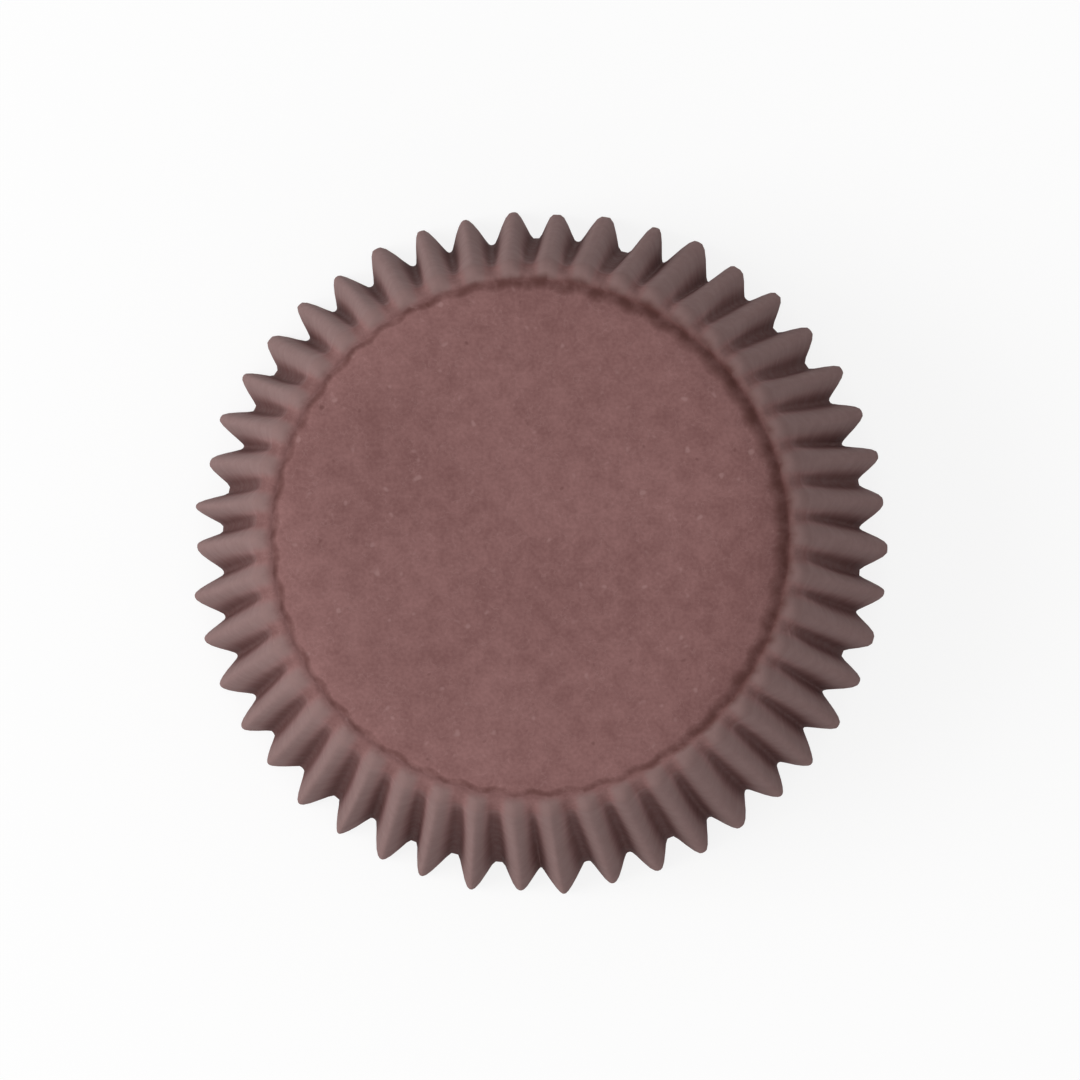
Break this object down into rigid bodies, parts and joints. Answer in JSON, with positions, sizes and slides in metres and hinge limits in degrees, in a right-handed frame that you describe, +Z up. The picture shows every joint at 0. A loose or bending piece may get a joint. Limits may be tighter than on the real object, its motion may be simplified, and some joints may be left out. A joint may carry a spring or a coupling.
{
  "type": "cupcake liner",
  "caption": "Pleated brown paper baking cup with a flat round base and a flaring fluted wall, standing upside down on its rim.",
  "frame": {"origin": "on the surface that the rim stands on, under the middle of the base", "axes": "+Z up out of the closed base, away from the mouth; +X towards one outward fold"},
  "size_m": [0.071, 0.0694, 0.0305],
  "materials": {
    "brown_paper": "matte"
  },
  "bodies": {
    "root": {"liner": "brown_paper"}
  },
  "joints": []
}
